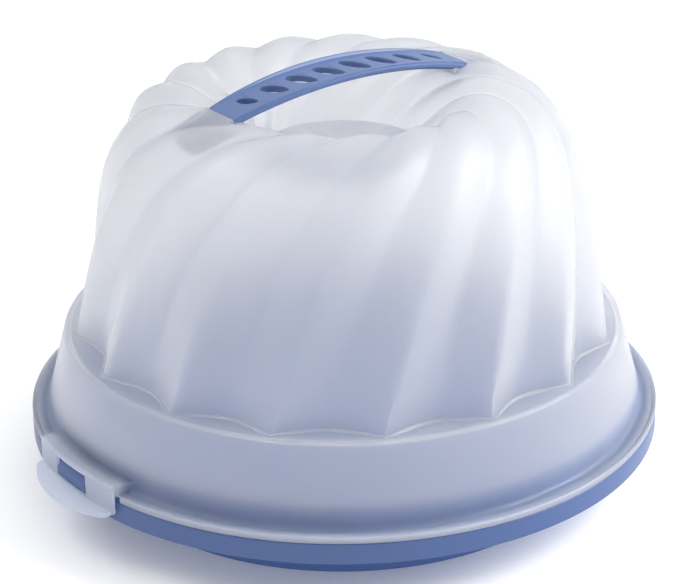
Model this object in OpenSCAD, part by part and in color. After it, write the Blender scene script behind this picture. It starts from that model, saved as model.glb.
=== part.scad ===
// Ring-cake carrier: a footed tray, a frosted fluted bell lid with two snap clips, and an arched handle.
// Millimetres, +Z up. The origin is the centre of the foot on the table; the clips lie on the Y axis.

/* [Tray] */
// Outer radius of the tray's rim
tray_rim_r = 165; // [140:1:190]
// Height of the rim's flat top above the table
tray_rim_z = 37; // [32:1:45]
// Height of the rim's outer band
tray_band_h = 11; // [8:0.5:16]
// Wall of the tray
tray_wall = 2.5; // [2:0.1:3.5]
// Distance from the tray's rim in to the foot
foot_inset = 37; // [34:1:70]
// Draft of the foot's wall, in degrees
foot_draft = 6; // [0:0.5:10]
// Height of the cake plate above the rim's top
plate_rise = 6; // [3:0.5:10]
// Height of the edge ring above the cake plate
edge_ring_h = 7; // [4:0.5:12]
// Gap between the edge ring and the inside of the lid's collar
edge_ring_gap = 2.6; // [1.5:0.1:6]

/* [Lid] */
// Wall of the lid
lid_wall = 2; // [1.6:0.1:3]
// Depth of the lip round the flange
lip_h = 3; // [2.4:0.1:5]
// Width of the bead on the flange's edge
lip_w = 2.4; // [2:0.1:4]
// Width of the flange from its edge to the collar
flange_w = 8.4; // [7:0.1:14]
// Height of the collar above the flange
collar_h = 40.8; // [28:0.2:60]
// Draft of the collar, in degrees
collar_draft = 14.5; // [4:0.5:20]
// Radius of the collar's rounded top rim
rim_round = 2.2; // [1.2:0.1:3]
// Depth of the shelf below the top of that rim
shelf_drop = 1.4; // [0.4:0.1:1.8]

/* [Bell] */
// Width of the shelf from the collar's top to the flutes' ridges
shelf_w = 6.5; // [5.5:0.1:16]
// Draft of the bell's side at its foot, in degrees
bell_draft = 8.8; // [4:0.2:14]
// Height of the crest above the shelf
bell_h = 128; // [90:0.5:160]
// Radius of the crest
crest_r = 78.5; // [66:0.5:90]
// Reach of the round shoulder outside the crest
shoulder = 34.5; // [24:0.5:48]
// Reach of the straighter part of the bell's side
side_reach = 95; // [60:1:110]
// Depth of the well in the top
well_depth = 34; // [26:1:42]
// Radius of the well's flat floor
well_r = 42; // [30:1:46]
// Number of flutes round the bell
flutes = 16; // [12:1:20]
// Depth of a flute at the foot
flute_foot = 11.5; // [6:0.5:14]
// Depth of a flute at the well's floor
flute_well = 2.2; // [1:0.1:5]
// How soon the flutes grow shallower on the way up; 1 is at an even rate
flute_fade = 0.56; // [0.5:0.02:2]
// How round the flutes' ridges are at the top, from 0 for sharp to 1 for round
flute_soft = 0.84; // [0:0.02:1]
// Turn of the flutes at an even rate from foot to well, in degrees
twist_even = 21; // [0:1:40]
// Further turn of the flutes, most of it near the top, in degrees
twist_top = 60; // [0:1:80]
// Azimuth of one ridge at the foot, in degrees
flute_start = 17.1; // [0:0.1:22]

/* [Handle] */
// Length of the handle between its ends
handle_len = 145.4; // [136:0.2:149]
// Width of the handle at its ends
handle_w = 23; // [20:0.2:25]
// Bulge of each long side at the middle
handle_bulge = 3.8; // [1:0.1:5]
// Rise of the arch from its ends to its middle
handle_rise = 11; // [8:0.5:16]
// Thickness of the handle's panel
handle_top = 3.2; // [2.4:0.1:4]
// Depth of the panel below the handle's raised rims at the middle
handle_dish = 1.7; // [0.8:0.1:2.2]
// Width of the raised rims
handle_rim = 1.8; // [1.4:0.1:2.6]
// Height of the handle's sides
handle_side = 3.6; // [3:0.1:4.4]
// Distance from the sides in to the belly under the handle
belly_inset = 2.6; // [2:0.1:4]
// Height of the handle's ends above the crest
handle_seat = 0; // [-0.4:0.1:3]
// Number of slots across the handle
slots = 8; // [4:1:8]
// Distance between the slots
slot_pitch = 16.5; // [15:0.1:17]
// Length of the slots in the middle of the handle
slot_len = 20.3; // [14:0.1:21]
// How much shorter the outermost slots are
slot_less = 6.5; // [0:0.1:8]
// Width of a slot as a share of its length
slot_wide = 0.48; // [0.2:0.02:0.56]
// Slant of the slots against the handle's width, in degrees
slot_slant = 27; // [0:1:30]
// Width of the tongue at each end
tongue_w = 18; // [10:0.5:18.5]
// Length of the tongue
tongue_len = 20; // [10:0.5:22]
// Thickness of the tongue
tongue_t = 2; // [1.4:0.1:2.4]
// Length of the slanted cut under the handle's ends
end_cut = 9; // [6:0.5:14]
// Thickness left at the handle's very end
end_t = 1.5; // [1.3:0.1:2]

/* [Clips] */
// Half of the angle that a clip spans, in degrees
clip_half = 11.9; // [9:0.1:14]
// Rise of the clip's plateau above the flange
plateau_h = 5.5; // [4.5:0.1:8]
// Wall of the clip
clip_wall = 1.8; // [1.4:0.1:2.4]
// Drop of the clip's skirt below its top
clip_drop = 14.5; // [13:0.1:18]
// Width of the window in the skirt
window_w = 28.3; // [16:0.1:34]
// Height of the window
window_h = 10.9; // [8:0.1:11.5]
// Distance from the clip's top down to the window
window_top = 0.9; // [0.9:0.1:2.4]
// Reach of the finger tab beyond the tray's rim
tab_reach = 12.7; // [9:0.1:18]
// Radius of the finger tab's outline
tab_r = 65; // [50:1:90]
// Radius of the finger tab's corners
tab_corner = 5; // [3:0.5:7]
// How far the finger tab stops short of the skirt's ends
tab_short = 1; // [0.8:0.1:4]
// Sideways gap between the tray's catch and the window
catch_side_gap = 1; // [0.5:0.1:2]
// Height of the gap between the catch and the window's lower edge
catch_gap = 0.6; // [0.4:0.05:0.8]

/* [Fits] */
// Gap at a film hinge and round seated pieces
fit_gap = 0.3; // [0.25:0.05:0.5]
// Gap between a clip's skirt and the tray's rim
skirt_gap = 1; // [0.6:0.1:1.6]

/* [Hidden] */
tray_blue = [0.36, 0.47, 0.71];
frosted = [0.88, 0.90, 0.94, 0.55];
handle_blue = [0.42, 0.52, 0.75];
fine = 128;
foot_r = tray_rim_r - foot_inset;
flange_r = tray_rim_r;
flange_z = tray_rim_z + lip_h;
collar_foot_r = flange_r - flange_w;
shelf_z = flange_z + collar_h - shelf_drop;
collar_top_z = flange_z + collar_h;
collar_top_r = collar_foot_r - collar_h * tan(collar_draft);
bell_foot_r = collar_top_r - shelf_w;
plate_z = tray_rim_z + plate_rise;
edge_ring_z = plate_z + edge_ring_h;
function collar_r(z) = collar_foot_r - (z - flange_z) * tan(collar_draft);
edge_ring_r = collar_r(edge_ring_z) - lid_wall - edge_ring_gap;
crest_z = shelf_z + bell_h;
well_z = crest_z - well_depth;
clip_top_z = flange_z + plateau_h;
hinge_r = flange_r + fit_gap;
skirt_r = flange_r + skirt_gap;
handle_z = crest_z + handle_seat;
arch_r = (pow(handle_len / 2, 2) + pow(handle_rise, 2)) / (2 * handle_rise);
arch_end = asin(handle_len / 2 / arch_r);
arch_centre_z = handle_z + handle_rise - arch_r;
handle_depth = handle_dish + handle_top;
side_r = (pow(handle_len / 2, 2) + pow(handle_bulge, 2)) / (2 * handle_bulge);
tongue_drop = 0.9;
tongue_root = 6;
pocket_w = tongue_w + 6;
pocket_len = tongue_len + 4;
pocket_up = 0.5;
pocket_down = 8;
pocket_round = 6;
floor_drop = tongue_drop + tongue_t + fit_gap;

// Points of an arc in the plane
function arc(c, r, a0, a1, n) =
    [for (i = [0:n]) c + r * [cos(a0 + (a1 - a0) * i / n), sin(a0 + (a1 - a0) * i / n)]];

// Point at t on a cubic curve with four control points
function bez(p, t) =
    pow(1 - t, 3) * p[0] + 3 * pow(1 - t, 2) * t * p[1] + 3 * (1 - t) * t * t * p[2] + pow(t, 3) * p[3];

// Unit normal of that curve, on its left
function bez_normal(p, t) =
    let (d = pow(1 - t, 2) * (p[1] - p[0]) + 2 * (1 - t) * t * (p[2] - p[1]) + t * t * (p[3] - p[2]))
    [d[1], -d[0]] / norm(d);

// Length along a list of points up to point i
function run(pts, i) = i == 0 ? 0 : run(pts, i - 1) + norm(pts[i] - pts[i - 1]);

// Sector of a ring whose section is drawn in the plane, centred on the -Y or the +Y side
module sector(half, rear = false) {
    rotate([0, 0, (rear ? 90 : -90) - half])
        rotate_extrude(angle = 2 * half, $fn = fine)
            children();
}

// The tray: foot, raised cake plate, edge ring, rim with its outer band, and a catch under each clip
module tray_section() {
    foot_top_r = foot_r + (plate_z - tray_wall) * tan(foot_draft);
    ring_in = edge_ring_r - tray_wall;
    shelf_low = tray_rim_z - tray_wall;
    band_low = tray_rim_z - tray_band_h;
    round_r = tray_wall / 2;
    polygon(concat(
        [[0, plate_z - tray_wall], [foot_top_r - tray_wall, plate_z - tray_wall]],
        [[foot_r - tray_wall, 0.6], [foot_r - tray_wall + 0.6, 0], [foot_r - 0.6, 0], [foot_r, 0.6]],
        [[foot_top_r, plate_z - tray_wall], [ring_in, plate_z - tray_wall], [ring_in, shelf_low]],
        [[tray_rim_r - tray_wall, shelf_low], [tray_rim_r - tray_wall, band_low]],
        [[tray_rim_r - 0.5, band_low], [tray_rim_r, band_low + 0.5]],
        arc([tray_rim_r - 0.8, tray_rim_z - 0.8], 0.8, 0, 90, 3),
        [[edge_ring_r, tray_rim_z]],
        arc([edge_ring_r - round_r, edge_ring_z - round_r], round_r, 0, 180, 6),
        [[ring_in, plate_z + 1.5], [ring_in - 1.5, plate_z], [0, plate_z]]
    ));
}

module catch_section() {
    low = clip_top_z - window_top - window_h + catch_gap;
    high = clip_top_z - clip_wall - 1.4;
    nose = skirt_r + clip_wall + 0.1;
    polygon([[tray_rim_r - 4.5, tray_rim_z - 0.5], [tray_rim_r - 4.5, high], [tray_rim_r + 0.6, high],
        [nose, high - 3.8], [nose, low], [tray_rim_r - 0.8, low], [tray_rim_r - 0.8, tray_rim_z - 0.5]]);
}

module base_tray() {
    half = asin((window_w / 2 - catch_side_gap) / skirt_r);
    color(tray_blue)
        union() {
            rotate_extrude($fn = fine)
                tray_section();
            for (rear = [false, true])
                sector(half, rear)
                    catch_section();
        }
}

// The lid's collar, flange and lip
module collar_section() {
    in_r = collar_foot_r - lid_wall;
    top_in = collar_top_r - lid_wall;
    fillet = 2.5;
    rim_c = [collar_top_r - rim_round * 0.9, collar_top_z - rim_round];
    polygon(concat(
        [[flange_r - lip_w, tray_rim_z], [flange_r, tray_rim_z]],
        arc([flange_r - 1.2, flange_z - 0.9], 1.2, 0, 150, 5),
        [[collar_foot_r + fillet, flange_z]],
        [[collar_foot_r + 0.5, flange_z + 0.7], [collar_r(flange_z + fillet), flange_z + fillet]],
        arc(rim_c, rim_round, 0, 140, 6),
        [[collar_top_r - 3.4, shelf_z], [collar_top_r - 5, shelf_z], [collar_top_r - 5, shelf_z - lid_wall]],
        [[top_in - 1, shelf_z - lid_wall], [top_in + 0.3, shelf_z - lid_wall - 2]],
        [[in_r, flange_z], [in_r, flange_z - lid_wall], [flange_r - lip_w, flange_z - lid_wall]]
    ));
}

// The fluted bell: rings of points from the shelf's edge up over the crest to the well's floor, and back inside
side_rings = 11;
well_rings = 6;
inner_side_rings = 8;
inner_well_rings = 4;
flute_steps = 8;
columns = flutes * flute_steps;
side = [[bell_foot_r, shelf_z], [bell_foot_r, shelf_z] + side_reach * [-sin(bell_draft), cos(bell_draft)],
    [crest_r + shoulder, crest_z], [crest_r, crest_z]];
well = [[crest_r, crest_z], [crest_r - 18, crest_z], [well_r + 6, well_z + 18], [well_r, well_z]];
function ring_path(n, m) = concat([for (i = [0:n]) bez(side, i / n)], [for (i = [1:m]) bez(well, i / m)]);
function ring_normals(n, m) =
    concat([for (i = [0:n]) bez_normal(side, i / n)], [for (i = [1:m]) bez_normal(well, i / m)]);
function shares(pts) = let (whole = run(pts, len(pts) - 1)) [for (i = [0:len(pts) - 1]) run(pts, i) / whole];
function twist(s) = twist_even * s + twist_top * pow(s, 3);
function flute_depth(s) = flute_foot + (flute_well - flute_foot) * pow(s, flute_fade);

// How far the surface lies below the ridge: sharp ridges at the foot, softer ones and creases at the top
function hollow(phase, s) =
    let (cusp = sqrt(pow(sin(phase / 2), 2) + 0.004) - 0.063, wave = 1 - sqrt(pow(cos(phase / 2), 2) + 0.01),
        top = min(1, s * 2) * flute_soft)
    (1 - top) * cusp + top * wave;

// Ring of the bell's skin lying drop below the ridges' path at p, with normal n and share s of the way
function bell_ring(p, n, s, drop, flat_z) =
    [for (j = [0:columns - 1])
        let (q = p - n * (flute_depth(s) * hollow(360 * j / flute_steps, s) + drop),
            a = flute_start + twist(s) + 360 * j / columns)
        [q[0] * cos(a), q[0] * sin(a), is_undef(flat_z) ? q[1] : flat_z]];
function bell_skin(n, m, drop) =
    let (p = ring_path(n, m), q = ring_normals(n, m), s = shares(p), last = len(p) - 1)
    [for (i = [0:last]) bell_ring(p[i], q[i], s[i], drop,
        drop > 0 && i == 0 ? shelf_z - drop : drop > 0 && i == last ? well_z - drop : undef)];
function circle_point(r, z, j) =
    let (a = flute_start + 360 * j / columns)
    [r * cos(a), r * sin(a), z];

module bell() {
    edge_r = collar_top_r - 3.8;
    n = columns;
    outer = bell_skin(side_rings, well_rings, 0);
    inner = bell_skin(inner_side_rings, inner_well_rings, lid_wall);
    rows = concat([for (i = [len(outer) - 1:-1:0]) outer[i]],
        [[for (j = [0:n - 1]) circle_point(edge_r, shelf_z, j)]],
        [[for (j = [0:n - 1]) circle_point(edge_r, shelf_z - lid_wall, j)]],
        inner);
    points = concat([[0, 0, well_z]], [for (row = rows) each row], [[0, 0, well_z - lid_wall]]);
    last = len(points) - 1;
    count = len(rows);
    function at(k, j) = 1 + k * n + j % n;
    faces = concat(
        [for (j = [0:n - 1]) [0, at(0, j + 1), at(0, j)]],
        [for (k = [0:count - 2]) for (j = [0:n - 1]) [at(k, j), at(k, j + 1), at(k + 1, j + 1)]],
        [for (k = [0:count - 2]) for (j = [0:n - 1]) [at(k, j), at(k + 1, j + 1), at(k + 1, j)]],
        [for (j = [0:n - 1]) [last, at(count - 1, j), at(count - 1, j + 1)]]);
    polyhedron(points, faces, convexity = 8);
}

// Frame at the end of the handle, +Y outwards along the arch's end, +Z square to it
module at_handle_end(side) {
    rotate([0, 0, side > 0 ? 0 : 180])
        translate([0, handle_len / 2, handle_z])
            rotate([-arch_end, 0, 0])
                children();
}

// Shape drawn along the handle's end, outwards and up, and carried across its width
module across(width) {
    rotate([90, 0, 90])
        linear_extrude(width, center = true)
            children();
}

// Raised top and end walls over which a clip hangs
module plateau_section() {
    inside = collar_r(clip_top_z) - lid_wall / 2;
    polygon([[inside, flange_z - 0.5], [inside, clip_top_z], [flange_r, clip_top_z], [flange_r, flange_z - 0.5]]);
}

module plateau_room() {
    polygon([[collar_foot_r + 0.4, tray_rim_z - 1], [collar_foot_r + 0.4, clip_top_z - clip_wall],
        [flange_r + 1, clip_top_z - clip_wall], [flange_r + 1, tray_rim_z - 1]]);
}

module lip_gap_section() {
    polygon([[flange_r - lip_w - 0.3, tray_rim_z - 1], [flange_r - lip_w - 0.3, flange_z],
        [flange_r + 1, flange_z], [flange_r + 1, tray_rim_z - 1]]);
}

// Pocket for a tongue: a raised block with rounded outer corners, and a floor that runs in under the handle
module pocket() {
    side_x = pocket_w / 2 - pocket_round;
    back_y = pocket_len - pocket_round;
    high = pocket_down + pocket_up;
    translate([-pocket_w / 2, fit_gap, -pocket_down])
        cube([pocket_w, back_y - fit_gap, high]);
    translate([-side_x, back_y - 0.1, -pocket_down])
        cube([2 * side_x, pocket_round + 0.1, high]);
    for (x = [-side_x, side_x])
        translate([x, back_y, -pocket_down])
            cylinder(h = high, r = pocket_round, $fn = 48);
    translate([-tongue_w / 2 - 1, -tongue_root, -pocket_down])
        cube([tongue_w + 2, tongue_root + 1, pocket_down - floor_drop]);
}

module lid_bell() {
    end_wall = asin(clip_wall / flange_r);
    color(frosted)
        difference() {
            union() {
                rotate_extrude($fn = fine)
                    collar_section();
                bell();
                for (rear = [false, true])
                    sector(clip_half, rear)
                        plateau_section();
                for (end = [-1, 1])
                    at_handle_end(end)
                        pocket();
            }
            for (rear = [false, true]) {
                sector(clip_half - end_wall, rear)
                    plateau_room();
                sector(clip_half + 0.8, rear)
                    lip_gap_section();
            }
            for (end = [-1, 1])
                at_handle_end(end) {
                    translate([-tongue_w / 2 - fit_gap, -tongue_root - fit_gap, -floor_drop])
                        cube([tongue_w + 2 * fit_gap, tongue_root + tongue_len + 2 * fit_gap,
                            tongue_t + 2 * fit_gap]);
                    across(handle_w + 2 * fit_gap)
                        polygon([[fit_gap, 4], [fit_gap, -end_t - fit_gap], [-end_cut, -handle_depth - 0.9],
                            [-end_cut, 4]]);
                }
        }
}

// The handle: an arched grip with bulging sides, a sunk panel with slots across it, and a tongue at each end
module arch(inner, outer) {
    half = handle_w / 2 + handle_bulge + 1;
    translate([0, 0, arch_centre_z])
        rotate([0, -90, 0])
            rotate([0, 0, -arch_end])
                rotate_extrude(angle = 2 * arch_end, $fn = fine)
                    polygon([[arch_r - inner, -half], [arch_r - outer, -half], [arch_r - outer, half],
                        [arch_r - inner, half]]);
}

// Everything between the handle's long sides, less an inset
module between_sides(inset) {
    half = handle_w / 2 + handle_bulge - inset;
    translate([0, 0, handle_z - 2 * handle_depth])
        linear_extrude(handle_rise + 4 * handle_depth)
            intersection_for (s = [-1, 1])
                translate([s * (side_r - half), 0])
                    circle(side_r, $fn = 360);
}

// Room above the panel, which fades out at the handle's ends
module dish() {
    floor_rise = handle_rise - handle_dish;
    floor_r = (pow(handle_len / 2, 2) + pow(floor_rise, 2)) / (2 * floor_rise);
    difference() {
        between_sides(handle_rim);
        translate([0, 0, handle_z + floor_rise - floor_r])
            rotate([0, 90, 0])
                cylinder(h = 2 * handle_w, r = floor_r, center = true, $fn = 360);
    }
}

module lens(length, width) {
    r = (pow(length / 2, 2) + pow(width / 2, 2)) / width;
    intersection_for (s = [-1, 1])
        translate([0, s * (r - width / 2)])
            circle(r, $fn = 96);
}

module handle_arch() {
    low = -2 * handle_depth;
    difference() {
        union() {
            intersection() {
                arch(handle_side, 0);
                between_sides(0);
            }
            intersection() {
                arch(handle_depth, handle_dish);
                between_sides(belly_inset);
            }
        }
        dish();
        for (end = [-1, 1])
            at_handle_end(end)
                across(handle_w + 2)
                    polygon([[1, -end_t], [0, -end_t], [-end_cut, -handle_depth - 0.6], [-end_cut, low],
                        [1, low]]);
    }
}

module slot(length) {
    intersection() {
        lens(length * 1.1, length * slot_wide);
        circle(d = length, $fn = 96);
    }
}

module handle() {
    pitch_angle = 2 * asin(slot_pitch / 2 / arch_r);
    middle = (slots - 1) / 2;
    color(handle_blue)
        difference() {
            union() {
                handle_arch();
                for (end = [-1, 1])
                    at_handle_end(end)
                        translate([-tongue_w / 2, -tongue_root, -tongue_drop - tongue_t])
                            cube([tongue_w, tongue_len + tongue_root, tongue_t]);
            }
            for (i = [0:slots - 1])
                translate([0, 0, arch_centre_z])
                    rotate([(middle - i) * pitch_angle, 0, 0])
                        translate([0, 0, arch_r - 2 * handle_depth])
                            linear_extrude(3 * handle_depth)
                                rotate([0, 0, slot_slant])
                                    slot(slot_len - slot_less * pow(abs(i - middle) / middle, 3));
        }
}

// A clip: a skirt hung from the film hinge, with a window for the catch, and a crescent finger tab at its foot
module skirt_section() {
    out = skirt_r + clip_wall;
    low = clip_top_z - clip_drop;
    polygon(concat(
        [[hinge_r, clip_top_z - clip_wall], [hinge_r, clip_top_z]],
        arc([out - 1.3, clip_top_z - 1.3], 1.3, 90, 0, 4),
        [[out, low], [out - 0.7, low - 0.3], [skirt_r, low + 0.6]],
        [[skirt_r, clip_top_z - clip_wall - 0.6], [skirt_r - 0.4, clip_top_z - clip_wall]]
    ));
}

module tab_section() {
    low = clip_top_z - clip_drop;
    polygon([[skirt_r, low + 0.6], [skirt_r + 0.4, low + 1.6], [skirt_r + clip_wall, low + 1.6],
        [skirt_r + tab_reach, low - 0.3], [skirt_r + tab_reach, low - 2.1], [skirt_r + 1.1, low - 0.3]]);
}

// Plan of the finger tab: a segment of a disc with a round corner at each end
module tab_plan() {
    tab_c = tray_rim_r + tab_reach - tab_r;
    corner_x = (skirt_r + clip_wall) * sin(clip_half) - tab_corner - tab_short;
    corner_y = sqrt(pow(tab_r - tab_corner, 2) - pow(corner_x, 2));
    translate([0, -tab_c, 0]) {
        intersection() {
            cylinder(h = clip_top_z, r = tab_r, $fn = fine);
            linear_extrude(clip_top_z)
                polygon([[0, 0], [-corner_x * 2, -corner_y * 2], [corner_x * 2, -corner_y * 2]]);
        }
        for (x = [-corner_x, corner_x])
            translate([x, -corner_y, 0])
                cylinder(h = clip_top_z, r = tab_corner, $fn = 48);
    }
}

module clip(rear) {
    window_z = clip_top_z - window_top - window_h;
    color(frosted)
        rotate([0, 0, rear ? 180 : 0])
            difference() {
                union() {
                    sector(clip_half)
                        skirt_section();
                    intersection() {
                        sector(clip_half + 3)
                            tab_section();
                        tab_plan();
                    }
                }
                translate([-window_w / 2, -2 * skirt_r, window_z])
                    cube([window_w, 1.5 * skirt_r, window_h]);
            }
}

module front_clip() {
    clip(false);
}

module rear_clip() {
    clip(true);
}

base_tray();
lid_bell();
handle();
front_clip();
rear_clip();
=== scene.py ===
"""Looks of the ring-cake carrier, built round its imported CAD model. Metres, in the model's own frame."""

import math

import bmesh
import bpy
import numpy as np
from mathutils import Matrix, Vector


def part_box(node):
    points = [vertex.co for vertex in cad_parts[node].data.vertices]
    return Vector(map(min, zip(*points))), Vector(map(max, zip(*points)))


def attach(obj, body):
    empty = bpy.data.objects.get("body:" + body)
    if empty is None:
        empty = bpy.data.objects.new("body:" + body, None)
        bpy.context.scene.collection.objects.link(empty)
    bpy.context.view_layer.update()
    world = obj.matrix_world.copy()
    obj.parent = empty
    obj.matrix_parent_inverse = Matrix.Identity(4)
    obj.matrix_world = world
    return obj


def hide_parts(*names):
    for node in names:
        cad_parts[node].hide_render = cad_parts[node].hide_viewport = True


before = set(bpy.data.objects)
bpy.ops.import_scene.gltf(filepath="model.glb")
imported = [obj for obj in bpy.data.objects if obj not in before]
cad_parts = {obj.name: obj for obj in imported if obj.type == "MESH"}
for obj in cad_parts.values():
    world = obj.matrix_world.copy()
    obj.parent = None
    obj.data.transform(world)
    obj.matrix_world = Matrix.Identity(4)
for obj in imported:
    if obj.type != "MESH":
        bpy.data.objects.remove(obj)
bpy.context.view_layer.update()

MM = 0.001
SAME_POINT = 1e-7

# Sizes that the CAD model fixes, in millimetres
base_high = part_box("base_tray")[1]
lid_low, lid_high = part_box("lid_bell")
RIM_R = round(lid_high.x / MM, 3)
RIM_Z = round(lid_low.z / MM, 3)
EDGE_RING_Z = round(base_high.z / MM, 3)

# Tray
TRAY_WALL = 2.5
BAND_H = 11.0
FOOT_R = 128.0
FOOT_DRAFT = math.radians(6)
PLATE_Z = RIM_Z + 6.0
EDGE_RING_GAP = 2.6

# Lid
LID_WALL = 2.0
LIP_H = 3.0
LIP_W = 2.4
FLANGE_W = 8.4
COLLAR_H = 40.8
COLLAR_DRAFT = math.radians(14.5)
RIM_ROUND = 2.2
LIP_ROUND = 1.2
LIP_DROP = 0.9
LIP_EDGE = 0.4
COLLAR_FILLET = 2.5
SHELF_DROP = 1.4
FLANGE_Z = RIM_Z + LIP_H
COLLAR_FOOT_R = RIM_R - FLANGE_W
COLLAR_TOP_Z = FLANGE_Z + COLLAR_H
COLLAR_TOP_R = COLLAR_FOOT_R - COLLAR_H * math.tan(COLLAR_DRAFT)
SHELF_Z = COLLAR_TOP_Z - SHELF_DROP

# Bell
BELL_FOOT_R = COLLAR_TOP_R - 6.5
BELL_DRAFT = math.radians(8.8)
BELL_H = 128.0
CREST_R = 78.5
SHOULDER = 34.5
SIDE_REACH = 95.0
WELL_DEPTH = 34.0
WELL_R = 42.0
FLUTES = 16
FLUTE_FOOT = 11.5
FLUTE_WELL = 2.2
FLUTE_FADE = 0.56
FLUTE_SOFT = 0.84
TWIST_EVEN = 21.0
TWIST_TOP = 60.0
FLUTE_START = 17.1
FLUTE_STEPS = 16
SHELF_JOIN = 3.8
FOOT_BEAD_R = 0.9
FOOT_BEAD_OUT = 1.1
FOOT_BEAD_RISE = 0.1
CREST_Z = SHELF_Z + BELL_H
WELL_Z = CREST_Z - WELL_DEPTH

# Handle
ARCH_STEPS = 140
HANDLE_LEN = 145.4
HANDLE_W = 23.0
HANDLE_BULGE = 3.8
HANDLE_RISE = 11.0
HANDLE_TOP = 3.2
HANDLE_DISH = 1.7
HANDLE_RIM = 1.8
RIM_LEDGE = 0.6
HANDLE_SIDE = 3.6
BELLY_INSET = 2.6
HANDLE_SEAT = 0.0
SLOTS = 8
SLOT_PITCH = 16.5
SLOT_LEN = 20.3
SLOT_LESS = 6.5
SLOT_WIDE = 0.48
SLOT_SLANT = math.radians(27)
SLOT_LIP = 0.7
TONGUE_W = 18.0
TONGUE_LEN = 20.0
TONGUE_T = 2.0
TONGUE_DROP = 0.9
TONGUE_ROOT = 6.0
END_CUT = 9.0
END_T = 1.5
POCKET_WALL = 3.0
POCKET_BACK = 4.0
POCKET_R = 6.0
POCKET_DEEP = 8.0
HANDLE_DEPTH = HANDLE_DISH + HANDLE_TOP
HANDLE_Z = CREST_Z + HANDLE_SEAT
ARCH_R = ((HANDLE_LEN / 2) ** 2 + HANDLE_RISE**2) / (2 * HANDLE_RISE)
ARCH_END = math.asin(HANDLE_LEN / 2 / ARCH_R)
ARCH_CENTRE_Z = HANDLE_Z + HANDLE_RISE - ARCH_R
SIDE_R = ((HANDLE_LEN / 2) ** 2 + HANDLE_BULGE**2) / (2 * HANDLE_BULGE)
FLOOR_RISE = HANDLE_RISE - HANDLE_DISH
FLOOR_R = ((HANDLE_LEN / 2) ** 2 + FLOOR_RISE**2) / (2 * FLOOR_RISE)

# Clips
CLIP_HALF = math.radians(11.9)
PLATEAU_H = 5.5
CLIP_WALL = 1.8
CLIP_DROP = 14.5
WINDOW_W = 28.3
WINDOW_H = 10.9
WINDOW_TOP = 0.9
TAB_REACH = 12.7
TAB_R = 65.0
TAB_CORNER = 5.0
TAB_SHORT = 1.0
FIT = 0.3
SKIRT_GAP = 1.0
CATCH_SIDE_GAP = 1.0
CATCH_GAP = 0.6
CATCH_SLANT = 3.8
LIP_GAP = math.radians(0.8)
PLATEAU_SPARE = math.radians(1.5)
CLIP_TOP_Z = FLANGE_Z + PLATEAU_H
HINGE_R = RIM_R + FIT
SKIRT_R = RIM_R + SKIRT_GAP
FRONT = -math.pi / 2
REAR = math.pi / 2

# Steps of round shapes, and the angles in degrees over which an edge stays sharp or is rounded
ROUND_STEPS = 256
CLIP_STEPS = 32
SMOOTH_ANGLE = 40
BEVEL_ANGLE = 35
BEVEL_WIDTH = 0.35

# Clouded plastic: light let through, roughness, glow, and painted blue tints at the lid's edge and the
# collar's foot, standing in for the tray's light seen through the plastic
FROST_CLEAR = 0.9
FROST_ROUGH = 0.4
FROST_IOR = 1.4
FROST_GLOW = 0.18
EDGE_CLEAR = 0.68
# Painted blue at the lid's edge and on the clips: the tray's blue below, seen through the clouded plastic
EDGE_PAINTED_BLUE = (0.84, 0.88, 0.97)
# Painted blue at the collar's foot: the tray's light showing through the wall, fading out upwards above the
# flange
FOOT_PAINTED_BLUE = (0.74, 0.82, 0.95)
FOOT_PAINTED_BLUE_TOP = 12.0
FOOT_PAINTED_BLUE_FULL = 3.0

# Blue plastic
TRAY_DARK = (0.09, 0.165, 0.42)
TRAY_LIGHT = (0.10, 0.18, 0.44)
# Painted shade: the tray's colour is darkened outside the collar, where its rim and band face away from the
# light
TRAY_OUTSIDE_PAINTED_SHADE = (0.42, 0.48, 0.53)
HANDLE_DARK = (0.075, 0.125, 0.285)
HANDLE_LIGHT = (0.085, 0.14, 0.305)
BLUE_IOR = 1.49

# Turns a shape drawn outwards and up into one carried across the handle
ACROSS = Matrix.Rotation(math.pi / 2, 4, "Z") @ Matrix.Rotation(math.pi / 2, 4, "X")


def link(name, verts, faces):
    """A mesh object from points in millimetres."""
    mesh = bpy.data.meshes.new(name)
    mesh.from_pydata((np.asarray(verts, float) * MM).tolist(), [], [list(f) for f in faces])
    mesh.validate()
    mesh.update()
    obj = bpy.data.objects.new(name, mesh)
    bpy.context.scene.collection.objects.link(obj)
    return obj


def arc(cx, cy, r, a0, a1, n):
    """Points of an arc in the plane; the angles are in degrees."""
    angles = np.radians(np.linspace(a0, a1, n + 1))
    return [(cx + r * math.cos(a), cy + r * math.sin(a)) for a in angles]


def rounded(points, radius, steps=4):
    """An outline with its corners rounded; a point may carry a radius of its own as its third value."""
    out = []
    n = len(points)
    for i, here in enumerate(points):
        r = here[2] if len(here) > 2 else radius
        p = np.array(here[:2], float)
        a = np.array(points[i - 1][:2], float) - p
        b = np.array(points[(i + 1) % n][:2], float) - p
        la, lb = np.linalg.norm(a), np.linalg.norm(b)
        if r <= 0 or la < 1e-9 or lb < 1e-9:
            out.append(tuple(p))
            continue
        a, b = a / la, b / lb
        cosine = float(np.clip(a @ b, -1, 1))
        if cosine < -0.9999:
            out.append(tuple(p))
            continue
        half = math.acos(cosine) / 2
        cut = min(r / math.tan(half), 0.45 * la, 0.45 * lb)
        for t in np.linspace(0, 1, steps + 1):
            q = p + a * cut * (1 - t) ** 2 + b * cut * t**2
            out.append(tuple(q))
    return out


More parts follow.
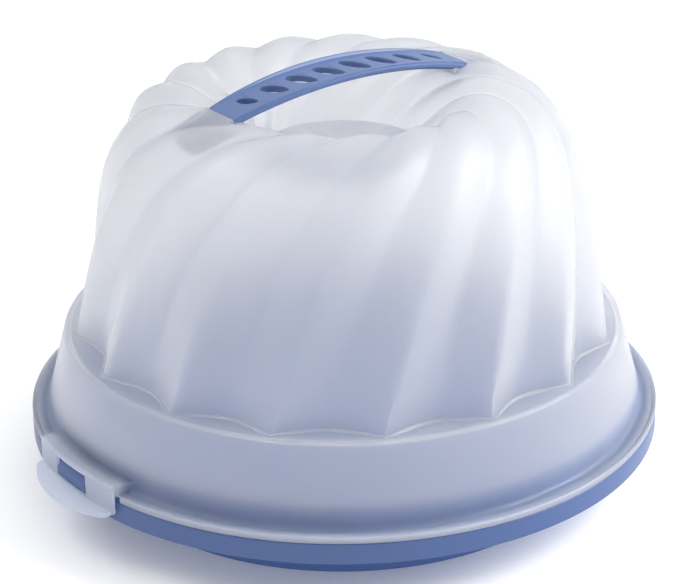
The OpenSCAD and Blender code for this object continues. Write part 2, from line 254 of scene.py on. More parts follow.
def revolve(name, outline, start=0.0, end=2 * math.pi, steps=ROUND_STEPS):
    """A closed outline of (radius, height) swept round the Z axis; less than a full turn gets end faces."""
    full = abs(end - start - 2 * math.pi) < 1e-9
    n = len(outline)
    rows = steps if full else steps + 1
    verts = []
    for i in range(rows):
        a = start + (end - start) * i / steps
        verts += [(r * math.cos(a), r * math.sin(a), z) for r, z in outline]
    faces = []
    for i in range(steps):
        j = (i + 1) % rows
        for k in range(n):
            m = (k + 1) % n
            faces.append((i * n + k, j * n + k, j * n + m, i * n + m))
    if not full:
        faces.append(tuple(range(n))[::-1])
        faces.append(tuple((rows - 1) * n + k for k in range(n)))
    obj = link(name, verts, faces)
    return face_out(obj)


def prism(name, outline, low, high):
    """A closed outline of (x, y) raised along Z."""
    n = len(outline)
    verts = [(x, y, low) for x, y in outline] + [(x, y, high) for x, y in outline]
    faces = [tuple(range(n))[::-1], tuple(n + k for k in range(n))]
    faces += [(k, (k + 1) % n, n + (k + 1) % n, n + k) for k in range(n)]
    return face_out(link(name, verts, faces))


def face_out(obj):
    """Turns a closed mesh's faces outwards."""
    bm = bmesh.new()
    bm.from_mesh(obj.data)
    bmesh.ops.remove_doubles(bm, verts=bm.verts, dist=SAME_POINT)
    bmesh.ops.recalc_face_normals(bm, faces=bm.faces)
    if bm.calc_volume(signed=True) < 0:
        bmesh.ops.reverse_faces(bm, faces=bm.faces)
    bm.to_mesh(obj.data)
    bm.free()
    return obj


def move(obj, matrix):
    """Moves the mesh itself, so that the object's own place stays at the origin."""
    obj.data.transform(matrix)
    return obj


def combine(target, tools, operation):
    """Joins the tools to the target or cuts them from it, and removes them."""
    for tool in tools:
        modifier = target.modifiers.new("combine", "BOOLEAN")
        modifier.operation = operation
        modifier.solver = "MANIFOLD"
        modifier.object = tool
        bpy.context.view_layer.update()
        result = target.evaluated_get(bpy.context.evaluated_depsgraph_get())
        mesh = bpy.data.meshes.new_from_object(result)
        target.modifiers.clear()
        old = target.data
        target.data = mesh
        bpy.data.meshes.remove(old)
        bpy.data.objects.remove(tool)
    return target


def bevel(obj):
    """Rounds the sharp edges."""
    modifier = obj.modifiers.new("edges", "BEVEL")
    modifier.width = BEVEL_WIDTH * MM
    modifier.segments = 2
    modifier.limit_method = "ANGLE"
    modifier.angle_limit = math.radians(BEVEL_ANGLE)
    modifier.use_clamp_overlap = True
    modifier.miter_outer = "MITER_ARC"
    return obj


def smooth(obj):
    """Shades the faces smooth except across sharp edges."""
    obj.data.shade_smooth()
    obj.data.set_sharp_from_angle(angle=math.radians(SMOOTH_ANGLE))
    return obj


def collar_r(z):
    """Outer radius of the collar at a height."""
    return COLLAR_FOOT_R - (z - FLANGE_Z) * math.tan(COLLAR_DRAFT)


def handle_end(side):
    """Place of the handle's end: +Y outwards along the arch, +Z square to it."""
    turn = Matrix.Rotation(0 if side > 0 else math.pi, 4, "Z")
    place = Matrix.Translation((0, HANDLE_LEN / 2 * MM, HANDLE_Z * MM))
    return turn @ place @ Matrix.Rotation(-ARCH_END, 4, "X")


def bezier(p, t):
    """Point of a cubic curve."""
    p = np.array(p, float)
    return (1 - t) ** 3 * p[0] + 3 * (1 - t) ** 2 * t * p[1] + 3 * (1 - t) * t * t * p[2] + t**3 * p[3]


def bezier_normal(p, t):
    """Normal of a cubic curve, away from its hollow side."""
    p = np.array(p, float)
    d = (1 - t) ** 2 * (p[1] - p[0]) + 2 * (1 - t) * t * (p[2] - p[1]) + t * t * (p[3] - p[2])
    return np.array([d[1], -d[0]]) / np.linalg.norm(d)


BELL_SIDE = [
    (BELL_FOOT_R, SHELF_Z),
    (BELL_FOOT_R - SIDE_REACH * math.sin(BELL_DRAFT), SHELF_Z + SIDE_REACH * math.cos(BELL_DRAFT)),
    (CREST_R + SHOULDER, CREST_Z),
    (CREST_R, CREST_Z),
]
BELL_WELL = [(CREST_R, CREST_Z), (CREST_R - 18, CREST_Z), (WELL_R + 6, WELL_Z + 18), (WELL_R, WELL_Z)]


def bell_path(n, m):
    """Points, normals and shares of the way along a ridge, from the shelf to the well's floor."""
    points = [bezier(BELL_SIDE, i / n) for i in range(n + 1)]
    normals = [bezier_normal(BELL_SIDE, i / n) for i in range(n + 1)]
    points += [bezier(BELL_WELL, i / m) for i in range(1, m + 1)]
    normals += [bezier_normal(BELL_WELL, i / m) for i in range(1, m + 1)]
    steps = [0] + [float(np.linalg.norm(points[i] - points[i - 1])) for i in range(1, len(points))]
    run = np.cumsum(steps)
    return points, normals, run / run[-1]


def twist(s):
    """Turn of the flutes in degrees, at a share of the way from the shelf to the well."""
    return TWIST_EVEN * s + TWIST_TOP * s**3


def flute_depth(s):
    """Depth of the flutes at a share of the way."""
    return FLUTE_FOOT + (FLUTE_WELL - FLUTE_FOOT) * s**FLUTE_FADE


def hollow(phase, s):
    """Depth below the ridge as a share of the full depth: sharp ridges at the foot, soft ones on top."""
    cusp = np.sqrt(np.sin(phase / 2) ** 2 + 0.004) - 0.063
    wave = 1 - np.sqrt(np.cos(phase / 2) ** 2 + 0.01)
    top = min(1, s * 2) * FLUTE_SOFT
    return (1 - top) * cusp + top * wave


def bell_skin(n, m, columns, drop):
    """Rings of points on the fluted bell, or on its inside where drop is the wall."""
    points, normals, share = bell_path(n, m)
    index = np.arange(columns)
    phase = 2 * math.pi * FLUTES * index / columns
    rings = []
    for i, (p, q, s) in enumerate(zip(points, normals, share)):
        off = flute_depth(s) * hollow(phase, s) + drop
        r = p[0] - q[0] * off
        z = p[1] - q[1] * off
        if drop > 0 and i == 0:
            z = np.full(columns, SHELF_Z - drop)
        if drop > 0 and i == len(points) - 1:
            z = np.full(columns, WELL_Z - drop)
        a = np.radians(FLUTE_START + twist(s)) + 2 * math.pi * index / columns
        rings.append(np.stack([r * np.cos(a), r * np.sin(a), z], -1))
    return rings


def build_foot_bead():
    """A fine raised line on the shelf that follows the lobes of the bell."""
    columns = FLUTES * FLUTE_STEPS
    phase = 2 * math.pi * FLUTES * np.arange(columns) / columns
    a = np.radians(FLUTE_START) + phase / FLUTES
    foot = BELL_FOOT_R - flute_depth(0) * hollow(phase, 0)
    section = arc(FOOT_BEAD_OUT, 0, FOOT_BEAD_R, 0, 360, 12)[:-1]
    rings = []
    for x, z in section:
        r = foot + x
        height = np.full(columns, SHELF_Z + FOOT_BEAD_RISE + z)
        rings.append(np.stack([r * np.cos(a), r * np.sin(a), height], -1))
    n = len(section)
    verts = np.concatenate(rings)
    faces = []
    for k in range(n):
        m = (k + 1) % n
        for j in range(columns):
            i = (j + 1) % columns
            faces.append((k * columns + j, k * columns + i, m * columns + i, m * columns + j))
    return face_out(link("foot_bead", verts, faces))


def build_bell():
    """The fluted shell with the shelf's inner edge, closed on both sides."""
    columns = FLUTES * FLUTE_STEPS
    outer = bell_skin(56, 22, columns, 0)
    inner = bell_skin(30, 12, columns, LID_WALL)
    a = np.radians(FLUTE_START) + 2 * math.pi * np.arange(columns) / columns
    edge_r = COLLAR_TOP_R - SHELF_JOIN
    edge = [
        np.stack([edge_r * np.cos(a), edge_r * np.sin(a), np.full(columns, z)], -1)
        for z in (SHELF_Z, SHELF_Z - LID_WALL)
    ]
    rows = outer[::-1] + edge + inner
    verts = np.concatenate([[[0, 0, WELL_Z]]] + rows + [[[0, 0, WELL_Z - LID_WALL]]])
    last = len(verts) - 1

    def at(k, j):
        return 1 + k * columns + j % columns

    faces = []
    for j in range(columns):
        faces.append((0, at(0, j + 1), at(0, j)))
        faces.append((last, at(len(rows) - 1, j), at(len(rows) - 1, j + 1)))
        for k in range(len(rows) - 1):
            faces.append((at(k, j), at(k, j + 1), at(k + 1, j + 1), at(k + 1, j)))
    return face_out(link("bell_shell", verts, faces))


def block(name, half):
    """A tall block that keeps what lies within half a width of the plane of the clips."""
    far = 2 * RIM_R
    return prism(name, [(-half, -far), (half, -far), (half, far), (-half, far)], -far, far)


def plate(half, near, far):
    """Outline of a rectangle across the handle's end."""
    return [(half, near), (half, far), (-half, far), (-half, near)]


def lid_outline():
    """Section of lip, flange, collar and shelf as (radius, height)."""
    in_r = COLLAR_FOOT_R - LID_WALL
    top_in = COLLAR_TOP_R - LID_WALL
    lip_in = RIM_R - LIP_W
    under_shelf = SHELF_Z - LID_WALL
    outline = [(lip_in, RIM_Z), (RIM_R - LIP_EDGE, RIM_Z), (RIM_R, RIM_Z + LIP_EDGE)]
    outline += arc(RIM_R - LIP_ROUND, FLANGE_Z - LIP_DROP, LIP_ROUND, 0, 150, 10)
    start = np.array([COLLAR_FOOT_R + COLLAR_FILLET, FLANGE_Z])
    corner = np.array([COLLAR_FOOT_R + 0.1, FLANGE_Z])
    end = np.array([collar_r(FLANGE_Z + COLLAR_FILLET), FLANGE_Z + COLLAR_FILLET])
    outline.append(tuple(start))
    for t in np.linspace(0.1, 0.9, 6):
        outline.append(tuple((1 - t) ** 2 * start + 2 * (1 - t) * t * corner + t * t * end))
    outline.append(tuple(end))
    outline += arc(COLLAR_TOP_R - RIM_ROUND * 0.9, COLLAR_TOP_Z - RIM_ROUND, RIM_ROUND, 0, 140, 12)
    outline += [(COLLAR_TOP_R - 3.4, SHELF_Z), (COLLAR_TOP_R - 5, SHELF_Z)]
    outline += [(COLLAR_TOP_R - 5, under_shelf)]
    outline += [(top_in - 1, under_shelf), (top_in + 0.3, under_shelf - 2)]
    outline += [(in_r, FLANGE_Z), (in_r, FLANGE_Z - LID_WALL), (lip_in, FLANGE_Z - LID_WALL)]
    return outline


def plateau_parts(middle):
    """The raised part of the edge over a clip, its room, and the gap in the lip."""
    start = middle - CLIP_HALF - PLATEAU_SPARE
    end = middle + CLIP_HALF + PLATEAU_SPARE
    half_x = RIM_R * math.sin(CLIP_HALF)
    inside = collar_r(CLIP_TOP_Z) - LID_WALL / 2
    under = RIM_Z - 1
    ceiling = CLIP_TOP_Z - CLIP_WALL
    foot = FLANGE_Z - 0.5
    top = [(inside, foot), (inside, CLIP_TOP_Z), (RIM_R, CLIP_TOP_Z), (RIM_R, foot)]
    plateau = revolve("plateau", top, start, end, CLIP_STEPS)
    combine(plateau, [block("ends", half_x)], "INTERSECT")
    room_r = COLLAR_FOOT_R + 0.4
    room = [(room_r, under), (room_r, ceiling), (RIM_R + 1, ceiling), (RIM_R + 1, under)]
    room = revolve("room", room, start, end, CLIP_STEPS)
    combine(room, [block("ends", half_x - CLIP_WALL)], "INTERSECT")
    gap_r = RIM_R - LIP_W - FIT
    gap = [(gap_r, under), (gap_r, FLANGE_Z), (RIM_R + 1, FLANGE_Z), (RIM_R + 1, under)]
    half = CLIP_HALF + LIP_GAP
    return plateau, [room, revolve("gap", gap, middle - half, middle + half, CLIP_STEPS)]


def pocket_parts(side):
    """The boss and floor round one of the handle's tongues, and the room for tongue and handle end."""
    at = handle_end(side)
    half = TONGUE_W / 2 + POCKET_WALL
    back = TONGUE_LEN + POCKET_BACK
    plan = [(half, FIT, 0), (half, back, POCKET_R), (-half, back, POCKET_R), (-half, FIT, 0)]
    floor_drop = TONGUE_DROP + TONGUE_T + FIT
    boss = move(prism("pocket", rounded(plan, 0, 8), -POCKET_DEEP, 0.5), at)
    floor_plan = plate(TONGUE_W / 2 + 1, -TONGUE_ROOT, 1)
    ledge = move(prism("floor", floor_plan, -POCKET_DEEP, -floor_drop), at)
    cavity = plate(TONGUE_W / 2 + FIT, -TONGUE_ROOT - FIT, TONGUE_LEN + FIT)
    room = move(prism("cavity", cavity, -floor_drop, -TONGUE_DROP + FIT), at)
    wedge = [(FIT, 4), (FIT, -END_T - FIT), (-END_CUT, -HANDLE_DEPTH - 0.9), (-END_CUT, 4)]
    wide = HANDLE_W / 2 + FIT
    return [boss, ledge], [room, move(prism("clearance", wedge, -wide, wide), at @ ACROSS)]


def build_lid():
    lid = revolve("lid_shell", lid_outline())
    parts = [build_bell()]
    rooms = []
    for middle in (FRONT, REAR):
        plateau, cuts = plateau_parts(middle)
        parts.append(plateau)
        rooms += cuts
    for side in (-1, 1):
        bosses, cuts = pocket_parts(side)
        parts += bosses
        rooms += cuts
    combine(lid, parts, "UNION")
    combine(lid, rooms, "DIFFERENCE")
    combine(lid, [build_foot_bead()], "UNION")
    return lid


def build_tray():
    """Plate, foot, edge ring, rim and band in one, with the two catches."""
    foot_top_r = FOOT_R + (PLATE_Z - TRAY_WALL) * math.tan(FOOT_DRAFT)
    edge_r = collar_r(EDGE_RING_Z) - LID_WALL - EDGE_RING_GAP
    ring_in = edge_r - TRAY_WALL
    shelf_low = RIM_Z - TRAY_WALL
    band_low = RIM_Z - BAND_H
    outline = [(0.0, PLATE_Z - TRAY_WALL, 0), (foot_top_r - TRAY_WALL, PLATE_Z - TRAY_WALL, 2)]
    outline += [(FOOT_R - TRAY_WALL, 0, 0.6), (FOOT_R, 0, 0.8), (foot_top_r, PLATE_Z - TRAY_WALL, 0.5)]
    outline += [(ring_in, PLATE_Z - TRAY_WALL, 1), (ring_in, shelf_low, 1)]
    outline += [(RIM_R - TRAY_WALL, shelf_low, 1.5), (RIM_R - TRAY_WALL, band_low, 0.5)]
    outline += [(RIM_R, band_low, 0.7), (RIM_R, RIM_Z, 0.8), (edge_r, RIM_Z, 0.4)]
    outline += [(edge_r, EDGE_RING_Z, 1.2), (ring_in, EDGE_RING_Z, 1.2)]
    outline += [(ring_in, PLATE_Z, 1.8), (0.0, PLATE_Z, 0)]
    tray = revolve("tray", rounded(outline, 0.5))
    half = math.asin((WINDOW_W / 2 - CATCH_SIDE_GAP) / SKIRT_R)
    low = CLIP_TOP_Z - WINDOW_TOP - WINDOW_H + CATCH_GAP
    high = CLIP_TOP_Z - CLIP_WALL - 1.4
    nose = SKIRT_R + CLIP_WALL + 0.1
    catch = [
        (RIM_R - 4.5, RIM_Z - 0.5),
        (RIM_R - 4.5, high),
        (RIM_R + 0.6, high),
        (nose, high - CATCH_SLANT),
        (nose, low),
        (RIM_R - 0.8, low),
        (RIM_R - 0.8, RIM_Z - 0.5),
    ]
    catches = [revolve("catch", catch, middle - half, middle + half, 24) for middle in (FRONT, REAR)]
    combine(tray, catches, "UNION")
    return tray


def handle_half_width(y):
    """Half the handle's width at a distance from its middle."""
    return HANDLE_W / 2 + HANDLE_BULGE - SIDE_R + math.sqrt(SIDE_R**2 - y**2)


def dish_depth(angle):
    """Depth of the panel below the rims, which fades out at the handle's ends."""
    y = ARCH_R * math.sin(angle)
    rim_z = ARCH_R * math.cos(angle) - ARCH_R + HANDLE_RISE
    floor_z = math.sqrt(FLOOR_R**2 - y**2) - FLOOR_R + FLOOR_RISE
    return max((rim_z - floor_z) * math.cos(angle), 0.12)


def handle_outline(angle):
    """Section of the handle as (across, depth below the rims): bead, step, belly and sunk panel."""
    w = handle_half_width(ARCH_R * math.sin(angle))
    d = dish_depth(angle)
    half = [
        (w - BELLY_INSET, HANDLE_DEPTH, 1.0),
        (w - BELLY_INSET, HANDLE_SIDE, 0.4),
        (w, HANDLE_SIDE, 0.7),
        (w, 1.5, 0.3),
        (w - RIM_LEDGE, 1.3, 0.2),
        (w - RIM_LEDGE, 0, 0.45),
        (w - HANDLE_RIM, 0, 0.45),
        (w - HANDLE_RIM - 0.7, d, 0.9),
    ]
    other = [(-x, depth, r) for x, depth, r in reversed(half)]
    return rounded(half + other, 0, 5)


def loft(name, rings):
    """A closed skin over rings of equally many points, with both ends covered."""
    n = len(rings[0])
    verts = [p for ring in rings for p in ring]
    faces = [tuple(range(n))[::-1], tuple((len(rings) - 1) * n + k for k in range(n))]
    for i in range(len(rings) - 1):
        for k in range(n):
            m = (k + 1) % n
            faces.append((i * n + k, i * n + m, (i + 1) * n + m, (i + 1) * n + k))
    return face_out(link(name, verts, faces))


def slot_ring(length, grow, height, steps=48):
    """A pointed oval across the handle, turned by the slots' slant."""
    ring = []
    for i in range(steps):
        t = 2 * math.pi * i / steps
        x = (length / 2 + grow) * math.cos(t)
        y = (length * SLOT_WIDE / 2 + grow) * math.copysign(abs(math.sin(t)) ** 1.2, math.sin(t))
        c, s = math.cos(SLOT_SLANT), math.sin(SLOT_SLANT)
        ring.append((c * x - s * y, s * x + c * y, height))
    return ring


def build_slot(length, floor_r):
    """Tool for a slot whose upper edge is rounded over."""
    depths = (3 * HANDLE_DEPTH, SLOT_LIP)
    rings = [slot_ring(length, -SLOT_LIP, floor_r - depth) for depth in depths]
    for i in range(1, 6):
        t = math.radians(90 * i / 5)
        rings.append(slot_ring(length, -SLOT_LIP * math.cos(t), floor_r - SLOT_LIP * (1 - math.sin(t))))
    rings.append(slot_ring(length, 0, floor_r + 3))
    return loft("slot", rings)


def build_handle():
    """The arched grip with its slots, and a tongue at each end."""
    rings = []
    for i in range(ARCH_STEPS + 1):
        a = ARCH_END * (2 * i / ARCH_STEPS - 1)
        ring = []
        for x, depth in handle_outline(a):
            r = ARCH_R - depth
            ring.append((x, r * math.sin(a), ARCH_CENTRE_Z + r * math.cos(a)))
        rings.append(ring)
    arch = loft("grip", rings)
    low = -2 * HANDLE_DEPTH
    wedge = [(1, -END_T), (0, -END_T), (-END_CUT, -HANDLE_DEPTH - 0.6), (-END_CUT, low), (1, low)]
    cuts = []
    tongues = []
    for side in (-1, 1):
        half = HANDLE_W / 2 + 1
        cuts.append(move(prism("wedge", wedge, -half, half), handle_end(side) @ ACROSS))
        wide = TONGUE_W / 2
        plan = [(wide, -TONGUE_ROOT, 0), (wide, TONGUE_LEN, 3)]
        plan += [(-wide, TONGUE_LEN, 3), (-wide, -TONGUE_ROOT, 0)]
        tongue = prism("tongue", rounded(plan, 0, 6), -TONGUE_DROP - TONGUE_T, -TONGUE_DROP)
        tongues.append(move(tongue, handle_end(side)))
    combine(arch, cuts, "DIFFERENCE")
    combine(arch, tongues, "UNION")
    pitch = 2 * math.asin(SLOT_PITCH / 2 / ARCH_R)
    middle = (SLOTS - 1) / 2
    slots = []
    for i in range(SLOTS):
        angle = (middle - i) * pitch
        length = SLOT_LEN - SLOT_LESS * abs((i - middle) / middle) ** 3
        slot = build_slot(length, ARCH_R - dish_depth(angle))
        turn = Matrix.Translation((0, 0, ARCH_CENTRE_Z * MM)) @ Matrix.Rotation(angle, 4, "X")
        slots.append(move(slot, turn))
    combine(arch, slots, "DIFFERENCE")
    return arch


def build_clip(name, middle):
    """A skirt with its window and its finger tab."""
    out = SKIRT_R + CLIP_WALL
    low = CLIP_TOP_Z - CLIP_DROP
    skirt = [
        (HINGE_R, CLIP_TOP_Z - CLIP_WALL, 0),
        (HINGE_R, CLIP_TOP_Z, 0),
        (out, CLIP_TOP_Z, 1.3),
        (out, low, 0),
        (out - 0.7, low - 0.3, 0),
        (SKIRT_R, low + 0.6, 0),
        (SKIRT_R, CLIP_TOP_Z - CLIP_WALL - 0.6, 0),
        (SKIRT_R - 0.4, CLIP_TOP_Z - CLIP_WALL, 0),
    ]
    clip = revolve(name, rounded(skirt, 0, 6), -CLIP_HALF, CLIP_HALF, 48)
    tab = [
        (SKIRT_R, low + 0.6),
        (SKIRT_R + 0.4, low + 1.6),
        (out, low + 1.6),
        (SKIRT_R + TAB_REACH, low - 0.3),
        (SKIRT_R + TAB_REACH, low - 2.1),
        (SKIRT_R + 1.1, low - 0.3),
    ]
    wide = CLIP_HALF + math.radians(3)
    tab_obj = revolve("tab", tab, -wide, wide, 60)
    centre = RIM_R + TAB_REACH - TAB_R
    corner_y = out * math.sin(CLIP_HALF) - TAB_CORNER - TAB_SHORT
    corner_x = math.sqrt((TAB_R - TAB_CORNER) ** 2 - corner_y**2)
    spread = math.degrees(math.atan2(corner_y, corner_x))
    plan = [(centre, 0.0)]
    plan += arc(centre + corner_x, -corner_y, TAB_CORNER, -130, -spread, 12)
    plan += arc(centre, 0, TAB_R, -spread, spread, 40)[1:-1]
    plan += arc(centre + corner_x, corner_y, TAB_CORNER, spread, 130, 12)
    combine(tab_obj, [prism("plan", plan, low - 5, low + 5)], "INTERSECT")
    combine(clip, [tab_obj], "UNION")
    window_z = CLIP_TOP_Z - WINDOW_TOP - WINDOW_H
    w = WINDOW_W / 2
    near, far = SKIRT_R - 8, SKIRT_R + 8
    window = [(near, -w), (far, -w), (far, w), (near, w)]
    combine(clip, [prism("window", window, window_z, window_z + WINDOW_H)], "DIFFERENCE")
    return move(clip, Matrix.Rotation(middle, 4, "Z"))


def material(name):
    """A new material with its node tree and shader."""
    made = bpy.data.materials.new(name)
    made.use_nodes = True
    tree = made.node_tree
    shader = tree.nodes["Principled BSDF"]
    return made, tree, shader


def noise(tree, scale, detail):
    """Noise in the object's own space."""
    coords = tree.nodes.new("ShaderNodeTexCoord")
    node = tree.nodes.new("ShaderNodeTexNoise")
    node.inputs["Scale"].default_value = scale
    node.inputs["Detail"].default_value = detail
    tree.links.new(coords.outputs["Object"], node.inputs["Vector"])
    return node


def ramp(tree, source, dark, light):
    """A colour between two as the source goes from 0.3 to 0.7."""
    node = tree.nodes.new("ShaderNodeValToRGB")
    for element, position, colour in zip(node.color_ramp.elements, (0.3, 0.7), (dark, light)):
        element.position = position
        element.color = (*colour, 1)
    tree.links.new(source, node.inputs["Fac"])
    return node


def span(tree, source, low, high):
    """A value between two as the source goes from 0 to 1."""
    node = tree.nodes.new("ShaderNodeMapRange")
    node.inputs["To Min"].default_value = low
    node.inputs["To Max"].default_value = high
    tree.links.new(source, node.inputs["Value"])
    return node


def bump(tree, shader, source, distance):
    """Fine unevenness of the surface; the distance is in metres."""
    node = tree.nodes.new("ShaderNodeBump")
    node.inputs["Distance"].default_value = distance
    node.inputs["Strength"].default_value = 0.3
    tree.links.new(source, node.inputs["Height"])
    tree.links.new(node.outputs["Normal"], shader.inputs["Normal"])


def tinted(tree, colour, share, factor):
    """The colour multiplied by a factor where the share is 1."""
    node = tree.nodes.new("ShaderNodeMix")
    node.data_type = "RGBA"
    node.blend_type = "MULTIPLY"
    first, second = [socket for socket in node.inputs if socket.type == "RGBA"]
    second.default_value = (*factor, 1)
    tree.links.new(share, node.inputs["Factor"])
    tree.links.new(colour, first)
    return [socket for socket in node.outputs if socket.type == "RGBA"][0]


def frosted_plastic():
    """Clouded plastic: most of its light goes through, and a share glows in its wall; painted blue,
    standing in for the tray's light seen through it, is multiplied in at the collar's foot and the lid's
    edge.
    """
    made, tree, shader = material("frosted_plastic")
    cloud = noise(tree, 14, 3)
    tint = ramp(tree, cloud.outputs["Fac"], (0.92, 0.925, 0.94), (0.945, 0.95, 0.96))
    edge = radius_share(tree, RIM_R - 6, RIM_R - 2)
    # Painted blue at the collar's foot, standing in for the tray's light showing through the clouded wall;
    # it fades out upwards and gives way to the edge's painted blue
    foot = height_share(tree, FLANGE_Z + FOOT_PAINTED_BLUE_TOP, FLANGE_Z + FOOT_PAINTED_BLUE_FULL)
    inside = tree.nodes.new("ShaderNodeMath")
    inside.operation = "SUBTRACT"
    inside.use_clamp = True
    tree.links.new(foot.outputs["Result"], inside.inputs[0])
    tree.links.new(edge.outputs["Result"], inside.inputs[1])
    colour = tinted(tree, tint.outputs["Color"], inside.outputs["Value"], FOOT_PAINTED_BLUE)
    # Painted blue at the lid's edge and on the clips: the tray's blue below, seen through the clouded
    # plastic, is multiplied into the colour
    colour = tinted(tree, colour, edge.outputs["Result"], EDGE_PAINTED_BLUE)
    tree.links.new(colour, shader.inputs["Base Color"])
    grain = noise(tree, 2600, 2)
    rough = span(tree, cloud.outputs["Fac"], FROST_ROUGH, FROST_ROUGH + 0.05)
    tree.links.new(rough.outputs["Result"], shader.inputs["Roughness"])
    shader.inputs["IOR"].default_value = FROST_IOR
    clear = span(tree, edge.outputs["Result"], FROST_CLEAR, EDGE_CLEAR)
    tree.links.new(clear.outputs["Result"], shader.inputs["Transmission Weight"])
    bump(tree, shader, grain.outputs["Fac"], 0.00004)
    glow = tree.nodes.new("ShaderNodeBsdfTranslucent")
    tree.links.new(colour, glow.inputs["Color"])
    mix = tree.nodes.new("ShaderNodeMixShader")
    mix.inputs["Fac"].default_value = FROST_GLOW
    tree.links.new(shader.outputs["BSDF"], mix.inputs[1])
    tree.links.new(glow.outputs["BSDF"], mix.inputs[2])
    tree.links.new(mix.outputs["Shader"], tree.nodes["Material Output"].inputs["Surface"])
    return made


def radius_share(tree, low, high):
    """A value that rises from 0 to 1 between two distances from the Z axis."""
    coords = tree.nodes.new("ShaderNodeTexCoord")
    flat = tree.nodes.new("ShaderNodeVectorMath")
    flat.operation = "MULTIPLY"
    flat.inputs[1].default_value = (1, 1, 0)
    tree.links.new(coords.outputs["Object"], flat.inputs[0])
    length = tree.nodes.new("ShaderNodeVectorMath")
    length.operation = "LENGTH"
    tree.links.new(flat.outputs["Vector"], length.inputs[0])
    node = tree.nodes.new("ShaderNodeMapRange")
    node.inputs["From Min"].default_value = low * MM
    node.inputs["From Max"].default_value = high * MM
    tree.links.new(length.outputs["Value"], node.inputs["Value"])
    return node


def height_share(tree, high, low):
    """A value that rises from 0 to 1 between a height and a lower one."""
    coords = tree.nodes.new("ShaderNodeTexCoord")
    axes = tree.nodes.new("ShaderNodeSeparateXYZ")
    tree.links.new(coords.outputs["Object"], axes.inputs["Vector"])
    node = tree.nodes.new("ShaderNodeMapRange")
    node.interpolation_type = "SMOOTHSTEP"
    node.inputs["From Min"].default_value = high * MM
    node.inputs["From Max"].default_value = low * MM
    tree.links.new(axes.outputs["Z"], node.inputs["Value"])
    return node


def blue_plastic(name, dark, light, rough_low, rough_high, outer=None):
    """Coloured plastic; outer is a painted-shade factor on its colour outside the collar, darkening the rim
    and band that face away from the light.
    """
    made, tree, shader = material(name)
    cloud = noise(tree, 22, 3)
    tint = ramp(tree, cloud.outputs["Fac"], dark, light)
    colour = tint.outputs["Color"]
    if outer:
        # Painted shade: a darker colour outside the collar
        share = radius_share(tree, COLLAR_FOOT_R - 6, COLLAR_FOOT_R)
        colour = tinted(tree, colour, share.outputs["Result"], outer)
    tree.links.new(colour, shader.inputs["Base Color"])
    grain = noise(tree, 3200, 2)
    rough = span(tree, grain.outputs["Fac"], rough_low, rough_high)
    tree.links.new(rough.outputs["Result"], shader.inputs["Roughness"])
    shader.inputs["IOR"].default_value = BLUE_IOR
    bump(tree, shader, grain.outputs["Fac"], 0.00003)
    return made


def dress(obj, body, nodes, look):
    """Gives a piece its material, the body it rides on and the nodes it replaces."""
    obj.data.materials.clear()
    obj.data.materials.append(look)
    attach(obj, body)
    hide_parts(*nodes)


frosted = frosted_plastic()
tray_blue = blue_plastic("tray_plastic", TRAY_DARK, TRAY_LIGHT, 0.32, 0.4, TRAY_OUTSIDE_PAINTED_SHADE)
handle_blue = blue_plastic("handle_plastic", HANDLE_DARK, HANDLE_LIGHT, 0.34, 0.42)

lid = smooth(build_lid())
dress(lid, "lid", ["lid_bell"], frosted)
tray = smooth(bevel(build_tray()))
dress(tray, "base", ["base_tray"], tray_blue)
handle = smooth(build_handle())
dress(handle, "lid", ["handle"], handle_blue)
for clip_name, middle in (("front_clip", FRONT), ("rear_clip", REAR)):
    clip = smooth(bevel(build_clip(clip_name + "_skirt", middle)))
    dress(clip, clip_name, [clip_name], frosted)

# Floor and light
FLOOR_HALF = 3.0
floor_corners = np.array([(-1, -1, 0), (1, -1, 0), (1, 1, 0), (-1, 1, 0)]) * FLOOR_HALF / MM
floor = link("floor", floor_corners, [(0, 1, 2, 3)])
floor_look, _, floor_shader = material("floor")
floor_shader.inputs["Base Color"].default_value = (0.95, 0.95, 0.95, 1)
floor_shader.inputs["Roughness"].default_value = 0.9
floor_shader.inputs["Emission Color"].default_value = (1, 1, 1, 1)
floor_shader.inputs["Emission Strength"].default_value = 0.1
floor.data.materials.append(floor_look)

world = bpy.data.worlds.new("studio")
bpy.context.scene.world = world
world.use_nodes = True
world.node_tree.nodes["Background"].inputs["Color"].default_value = (1, 1, 1, 1)
world.node_tree.nodes["Background"].inputs["Strength"].default_value = 0.82

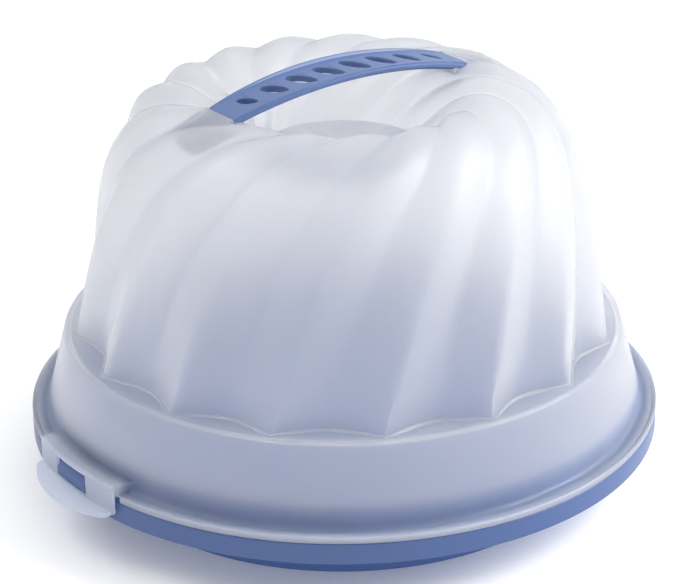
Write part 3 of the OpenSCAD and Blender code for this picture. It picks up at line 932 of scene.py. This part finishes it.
# Camera, fitted to the photograph: it looks at the middle of the lid's flange
VIEW_AZIMUTH = math.radians(54.2)
CAMERA_ELEVATION = math.radians(26.1987)
CAMERA_DISTANCE = 7.5 * RIM_R * MM
CAMERA_PITCH = math.radians(2.2502)
CAMERA_YAW = math.radians(0.0765)
CAMERA_ROLL = math.radians(-0.5975)
FOCAL_PX = 2320.12
PHOTO_WIDTH_PX = 680
SENSOR = 36.0


def area_light(name, azimuth, elevation, distance, size, power):
    """A square studio light round the middle of the object; azimuth as the camera's."""
    data = bpy.data.lights.new(name, "AREA")
    data.shape = "SQUARE"
    data.size = size
    data.energy = power
    obj = bpy.data.objects.new(name, data)
    bpy.context.scene.collection.objects.link(obj)
    a, e = VIEW_AZIMUTH + math.radians(azimuth), math.radians(elevation)
    away = Vector((math.sin(a) * math.cos(e), -math.cos(a) * math.cos(e), math.sin(e)))
    obj.location = Vector((0, 0, 0.1)) + away * distance
    obj.rotation_euler = away.to_track_quat("Z", "Y").to_euler()


area_light("key", 85, 32, 1.5, 0.9, 26)
area_light("fill", -90, 50, 1.8, 1.0, 10)


def place_camera():
    """Puts the camera where it was for the photograph."""
    e = CAMERA_ELEVATION
    back = Vector((0, -math.cos(e), math.sin(e)))
    right = Vector((1, 0, 0))
    up = Vector((0, math.sin(e), math.cos(e)))
    at = back * CAMERA_DISTANCE
    turn = Matrix.Rotation(CAMERA_YAW, 3, up)
    right, back = turn @ right, turn @ back
    turn = Matrix.Rotation(CAMERA_PITCH, 3, right)
    up, back = turn @ up, turn @ back
    turn = Matrix.Rotation(CAMERA_ROLL, 3, back)
    right, up = turn @ right, turn @ up
    axes = Matrix((right, up, back)).transposed().to_4x4()
    data = bpy.data.cameras.new("camera")
    data.sensor_fit = "HORIZONTAL"
    data.sensor_width = SENSOR
    data.lens = FOCAL_PX / PHOTO_WIDTH_PX * SENSOR
    data.clip_end = 50
    obj = bpy.data.objects.new("camera", data)
    bpy.context.scene.collection.objects.link(obj)
    spin = Matrix.Rotation(VIEW_AZIMUTH, 4, "Z")
    lift = Matrix.Translation((0, 0, FLANGE_Z * MM))
    obj.matrix_world = lift @ spin @ Matrix.Translation(at) @ axes
    bpy.context.scene.camera = obj


place_camera()
scene = bpy.context.scene
scene.view_settings.view_transform = "Standard"
scene.view_settings.look = "None"
scene.view_settings.exposure = 0.0
